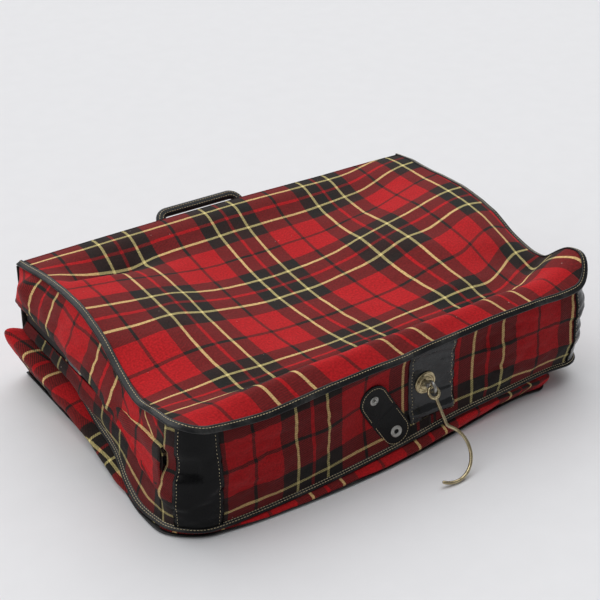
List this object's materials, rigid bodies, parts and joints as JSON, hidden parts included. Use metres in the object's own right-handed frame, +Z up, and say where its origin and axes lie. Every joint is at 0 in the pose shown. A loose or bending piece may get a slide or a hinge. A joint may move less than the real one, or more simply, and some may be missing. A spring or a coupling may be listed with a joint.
{
  "type": "garment bag",
  "caption": "Soft garment bag folded in half and lying closed, with bound edges, a wire hanging hook, a snap keeper strap, a side zip and a carrying handle.",
  "frame": {"origin": "middle of the bottom panel's underside, on the floor", "axes": "+X along the near edge with the hook, +Y from that edge to the fold wall with the handle, +Z up"},
  "size_m": [0.5672, 0.5097, 0.157],
  "materials": {
    "tartan_cloth": "woven twill in a red, black and yellow check, lightly brushed",
    "binding_vinyl": "grained vinyl, worn grey on the edge",
    "patch_vinyl": "grained vinyl, soft gloss, creased",
    "strap_vinyl": "smooth vinyl with a slight sheen",
    "handle_vinyl": "grained vinyl over a stiff core",
    "brass": "aged plate, satin, darkened in the recesses",
    "steel": "satin",
    "zip_metal": "aged, satin",
    "zip_tape": "woven tape",
    "pull_vinyl": "grey vinyl, satin"
  },
  "bodies": {
    "lower_half": {"lower_outer_panel": "tartan_cloth", "lower_inner_panel": "tartan_cloth", "lower_gusset_front": "tartan_cloth", "lower_gusset_left": "tartan_cloth", "lower_gusset_right": "tartan_cloth", "lower_binding_floor": "binding_vinyl", "lower_binding_left": "binding_vinyl", "lower_binding_right": "binding_vinyl"},
    "spine": {"spine_panel": "tartan_cloth", "spine_binding_left": "binding_vinyl", "spine_binding_right": "binding_vinyl", "handle_anchors": "handle_vinyl", "handle_pins": "brass", "handle_rivets": "brass"},
    "handle": {"handle_grip": "handle_vinyl"},
    "upper_half": {"upper_outer_panel": "tartan_cloth", "upper_inner_panel": "tartan_cloth", "upper_gusset_front": "tartan_cloth", "upper_gusset_left": "tartan_cloth", "upper_gusset_left_low": "tartan_cloth", "upper_gusset_right": "tartan_cloth", "upper_binding_top": "binding_vinyl", "upper_binding_lower": "binding_vinyl", "corner_patch_left": "patch_vinyl", "corner_patch_right": "patch_vinyl", "hanger_patch": "patch_vinyl", "grommet": "brass", "grommet_washer": "brass", "hanger_bracket": "steel", "hanger_bar": "steel", "keeper_base": "strap_vinyl", "snap_stud": "brass", "zip_tape_upper": "zip_tape", "zip_tape_lower": "zip_tape", "zip_chain": "zip_metal", "zip_stops": "zip_metal"},
    "hanger_eye": {"hanger_eye": "brass"},
    "hook": {"hook": "brass"},
    "keeper_flap": {"keeper_flap": "strap_vinyl", "snap_socket": "brass"},
    "zip_slider": {"zip_slider": "zip_metal"},
    "zip_pull": {"zip_pull": "pull_vinyl", "pull_ring": "brass"}
  },
  "joints": [
    {"name": "spine_fold", "type": "hinge", "parent": "lower_half", "child": "spine", "pos_m": [0, 0.19, 0], "axis": [-1, 0, 0], "range_deg": [0, 90]},
    {"name": "top_fold", "type": "hinge", "parent": "spine", "child": "upper_half", "pos_m": [0, 0.19, 0.156], "axis": [-1, 0, 0], "range_deg": [0, 90]},
    {"name": "handle_swing", "type": "hinge", "parent": "spine", "child": "handle", "pos_m": [-0.016, 0.1966, 0.124], "axis": [1, 0, 0], "range_deg": [-115, 45]},
    {"name": "eye_swivel", "type": "hinge", "parent": "upper_half", "child": "hanger_eye", "pos_m": [0.032, -0.2027, 0.082], "axis": [0, 1, 0], "continuous": true},
    {"name": "hook_tilt", "type": "hinge", "parent": "hanger_eye", "child": "hook", "pos_m": [0.032, -0.2027, 0.082], "axis": [-1, 0, 0], "range_deg": [-20, 130]},
    {"name": "keeper_fold", "type": "hinge", "parent": "upper_half", "child": "keeper_flap", "pos_m": [-0.02506, -0.1918, 0.05914], "axis": [-0.8572, 0, -0.515], "range_deg": [0, 160]},
    {"name": "zip_slide", "type": "slide", "parent": "upper_half", "child": "zip_slider", "axis": [0, 1, 0], "range_m": [-0.21, 0.106]},
    {"name": "pull_swing", "type": "hinge", "parent": "zip_slider", "child": "zip_pull", "pos_m": [-0.2844, 0.066, 0.088], "axis": [0, 0, -1], "range_deg": [0, 165]}
  ],
  "couplings": [
    {"joint": "top_fold", "follows": "spine_fold", "ratio": 1}
  ]
}
